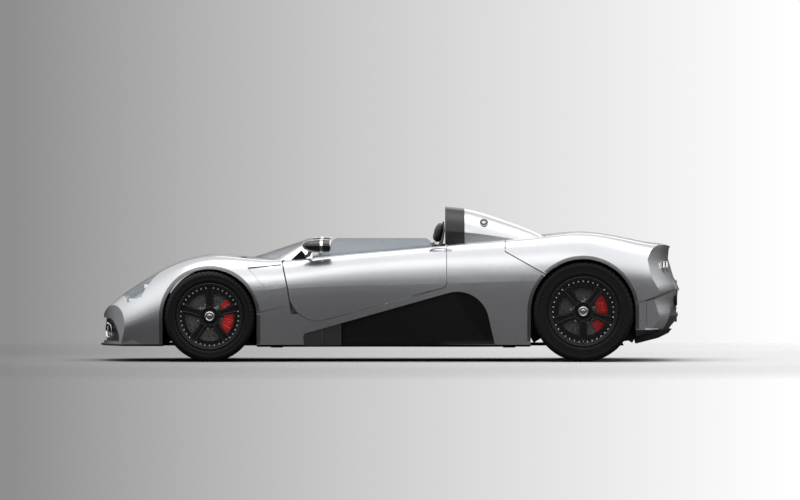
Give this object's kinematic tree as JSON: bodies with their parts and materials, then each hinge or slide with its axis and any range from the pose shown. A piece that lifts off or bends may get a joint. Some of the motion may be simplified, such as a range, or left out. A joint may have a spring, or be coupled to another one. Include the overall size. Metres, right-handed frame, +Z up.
{
  "type": "sports car",
  "caption": "Open mid-engined sports car with steered front wheels, opening doors, front lid and rear engine lid.",
  "frame": {"origin": "on the ground under the middle of the car, at half its length and half its width", "axes": "+X to the tail, +Y to the car's right side, +Z up"},
  "size_m": [4.197, 1.958, 1.113],
  "materials": {
    "body_paint": "silver metallic paint, clear coat",
    "dark_trim": "black satin composite",
    "structure": "dark composite tub and frames",
    "liner": "moulded black liner",
    "tyre": "black rubber",
    "rim_black": "gloss black enamel",
    "disc_metal": "machined friction ring",
    "alloy": "cast light alloy",
    "caliper_red": "red enamel",
    "steel": "dark coated steel",
    "exhaust_metal": "stainless steel",
    "leather": "black grained leather",
    "glass_clear": "lightly tinted safety glass",
    "glass_lamp": "clear lamp cover",
    "chrome": "bright chrome"
  },
  "bodies": {
    "car": {"calipers_rear": "caliper_red", "carriers_rear": "alloy", "centre_body": "body_paint", "chassis": "structure", "console": "leather", "dashboard": "leather", "diffuser": "dark_trim", "door_hinges": "steel", "engine": "alloy", "exhaust": "exhaust_metal", "filler_cap": "dark_trim", "fog_lamps": "glass_lamp", "front_wings": "body_paint", "head_fairings": "body_paint", "headlamp_bowls": "chrome", "headlamp_covers": "glass_lamp", "luggage_tray": "structure", "nose_insert": "dark_trim", "rear_bumper": "body_paint", "roll_hoops": "dark_trim", "screen_frame": "body_paint", "seat_left": "leather", "seat_right": "leather", "side_intakes": "dark_trim", "splitter": "dark_trim", "suspension_arms": "steel", "underfloor": "liner", "wheel_liners": "liner", "windscreen": "glass_clear"},
    "steered_left": {"knuckle_left": "alloy", "caliper_front_left": "caliper_red"},
    "wheel_front_left": {"tyre_front_left": "tyre", "rim_front_left": "rim_black", "brake_disc_front_left": "disc_metal"},
    "wheel_rear_left": {"tyre_rear_left": "tyre", "rim_rear_left": "rim_black", "brake_disc_rear_left": "disc_metal"},
    "door_left": {"door_left": "body_paint", "door_glass_left": "glass_clear", "mirror_left": "dark_trim"},
    "steered_right": {"knuckle_right": "alloy", "caliper_front_right": "caliper_red"},
    "wheel_front_right": {"tyre_front_right": "tyre", "rim_front_right": "rim_black", "brake_disc_front_right": "disc_metal"},
    "wheel_rear_right": {"tyre_rear_right": "tyre", "rim_rear_right": "rim_black", "brake_disc_rear_right": "disc_metal"},
    "door_right": {"door_right": "body_paint", "door_glass_right": "glass_clear", "mirror_right": "dark_trim"},
    "front_lid": {"bonnet": "body_paint"},
    "rear_lid": {"rear_clam": "body_paint", "tail_lamps": "glass_lamp"},
    "hand_wheel": {"steering_wheel": "leather"}
  },
  "joints": [
    {"name": "steer_left", "type": "hinge", "parent": "car", "child": "steered_left", "pos_m": [-1.305, -0.77, 0.328], "axis": [0, 0, 1], "range_deg": [-30, 30]},
    {"name": "roll_front_left", "type": "hinge", "parent": "steered_left", "child": "wheel_front_left", "pos_m": [-1.305, -0.782, 0.328], "axis": [0, 1, 0], "continuous": true},
    {"name": "roll_rear_left", "type": "hinge", "parent": "car", "child": "wheel_rear_left", "pos_m": [1.395, -0.765, 0.364], "axis": [0, 1, 0], "continuous": true},
    {"name": "open_door_left", "type": "hinge", "parent": "car", "child": "door_left", "pos_m": [-0.642, -0.861, 0.5], "axis": [0, 0, -1], "range_deg": [0, 60]},
    {"name": "steer_right", "type": "hinge", "parent": "car", "child": "steered_right", "pos_m": [-1.305, 0.77, 0.328], "axis": [0, 0, 1], "range_deg": [-30, 30]},
    {"name": "roll_front_right", "type": "hinge", "parent": "steered_right", "child": "wheel_front_right", "pos_m": [-1.305, 0.782, 0.328], "axis": [0, 1, 0], "continuous": true},
    {"name": "roll_rear_right", "type": "hinge", "parent": "car", "child": "wheel_rear_right", "pos_m": [1.395, 0.765, 0.364], "axis": [0, 1, 0], "continuous": true},
    {"name": "open_door_right", "type": "hinge", "parent": "car", "child": "door_right", "pos_m": [-0.642, 0.861, 0.5], "axis": [0, 0, 1], "range_deg": [0, 60]},
    {"name": "open_front_lid", "type": "hinge", "parent": "car", "child": "front_lid", "pos_m": [-1.075, 0, 0.714], "axis": [0, 1, 0], "range_deg": [0, 50]},
    {"name": "open_rear_lid", "type": "hinge", "parent": "car", "child": "rear_lid", "pos_m": [2.085, 0, 0.519], "axis": [0, 1, 0], "range_deg": [0, 50]},
    {"name": "turn_hand_wheel", "type": "hinge", "parent": "car", "child": "hand_wheel", "pos_m": [-0.43, -0.37, 0.612], "axis": [0.9063, 0, 0.4226], "range_deg": [-400, 400]}
  ],
  "couplings": [
    {"joint": "steer_right", "follows": "steer_left", "ratio": 1},
    {"joint": "turn_hand_wheel", "follows": "steer_left", "ratio": 13}
  ]
}
